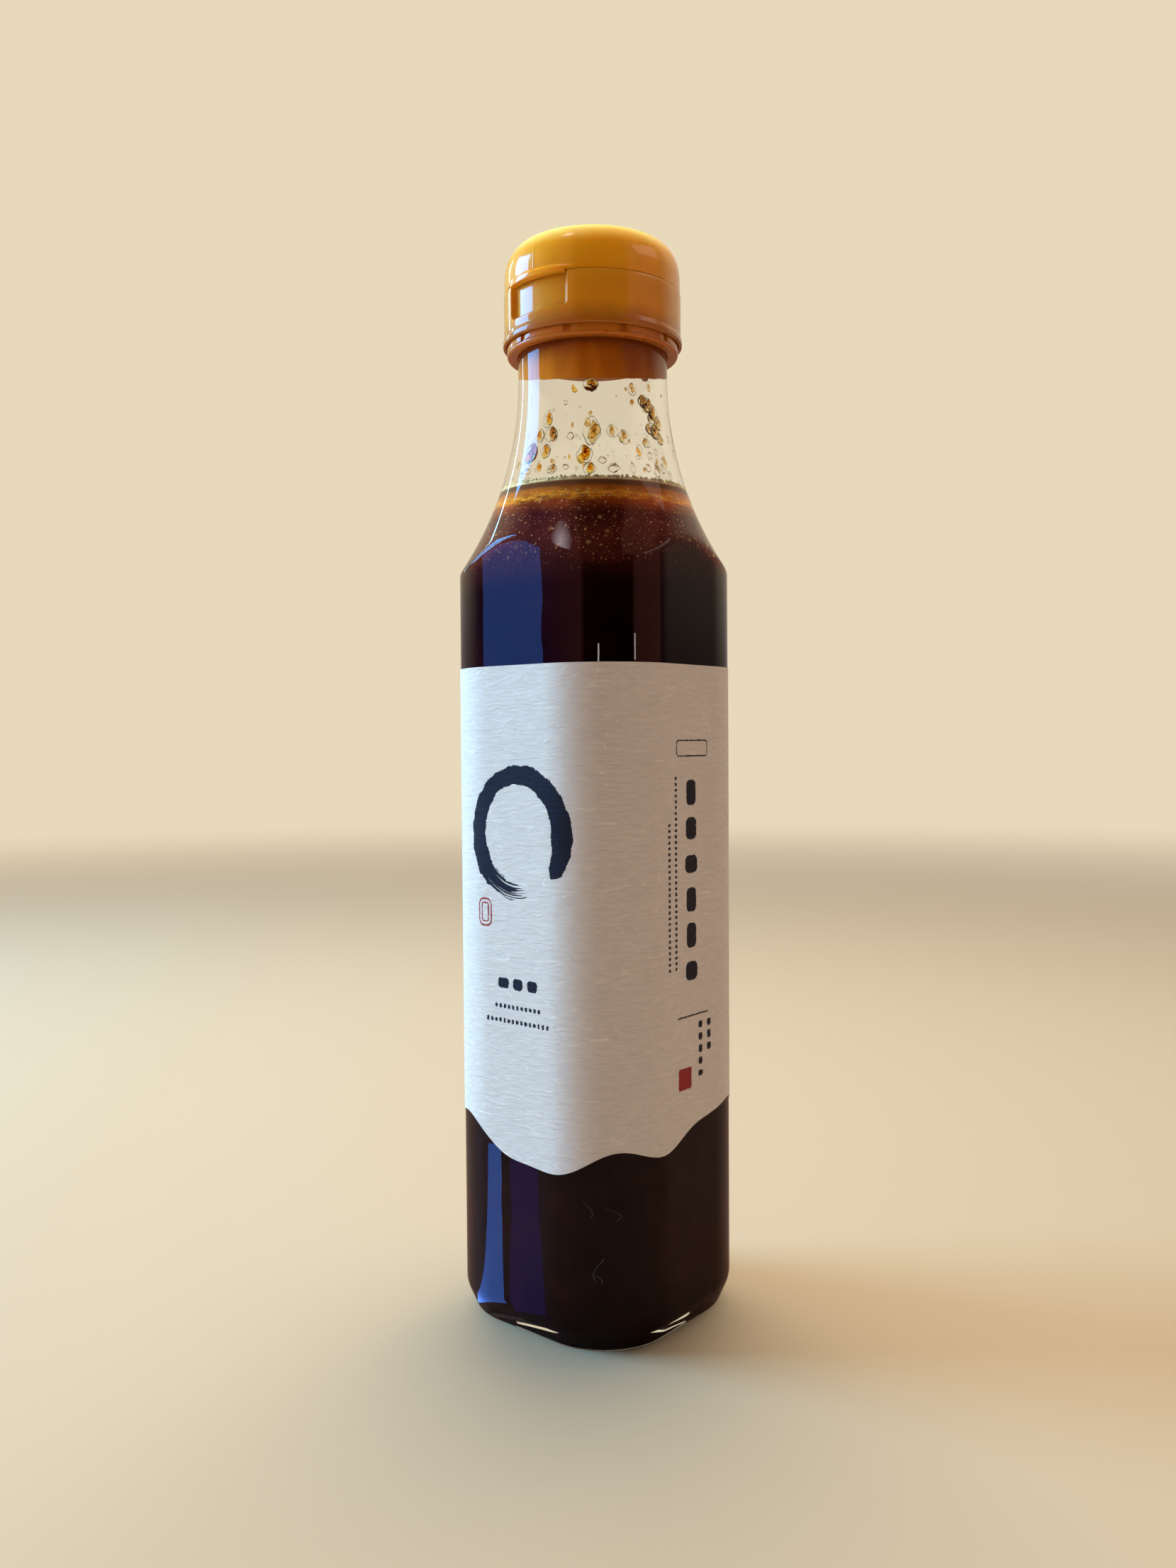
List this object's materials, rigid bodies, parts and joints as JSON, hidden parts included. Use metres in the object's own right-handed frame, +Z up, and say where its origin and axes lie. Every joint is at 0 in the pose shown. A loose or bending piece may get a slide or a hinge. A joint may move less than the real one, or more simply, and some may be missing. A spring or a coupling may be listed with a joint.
{
  "type": "yakiniku sauce bottle",
  "caption": "Square clear glass bottle of dark sauce with rounded corners, a long turned neck, a pale wrap-round paper label and an amber flip-top closure.",
  "frame": {"origin": "middle of the base, on the surface the bottle stands on", "axes": "+Z up along the bottle, -Y out of the front face where the lid's lip is, +Y towards the lid's hinge"},
  "size_m": [0.0502, 0.0502, 0.2229],
  "materials": {
    "glass": "polished clear glass",
    "sauce": "dark liquid, stands in for sauce",
    "oil": "amber liquid, stands in for the oil on top",
    "label": "embossed fibre paper",
    "collar": "translucent ochre moulding",
    "band": "dark amber moulding",
    "plug": "dark amber moulding",
    "lid": "glossy translucent amber moulding"
  },
  "bodies": {
    "bottle": {"bottle_glass": "glass", "sauce": "sauce", "oil_layer": "oil", "label_paper": "label", "cap_collar": "collar", "cap_band": "band", "cap_plug": "plug"},
    "lid": {"cap_lid": "lid"}
  },
  "joints": [
    {"name": "lid_hinge", "type": "hinge", "parent": "bottle", "child": "lid", "pos_m": [0, 0.0189, 0.213], "axis": [-1, 0, 0], "range_deg": [0, 130]}
  ]
}
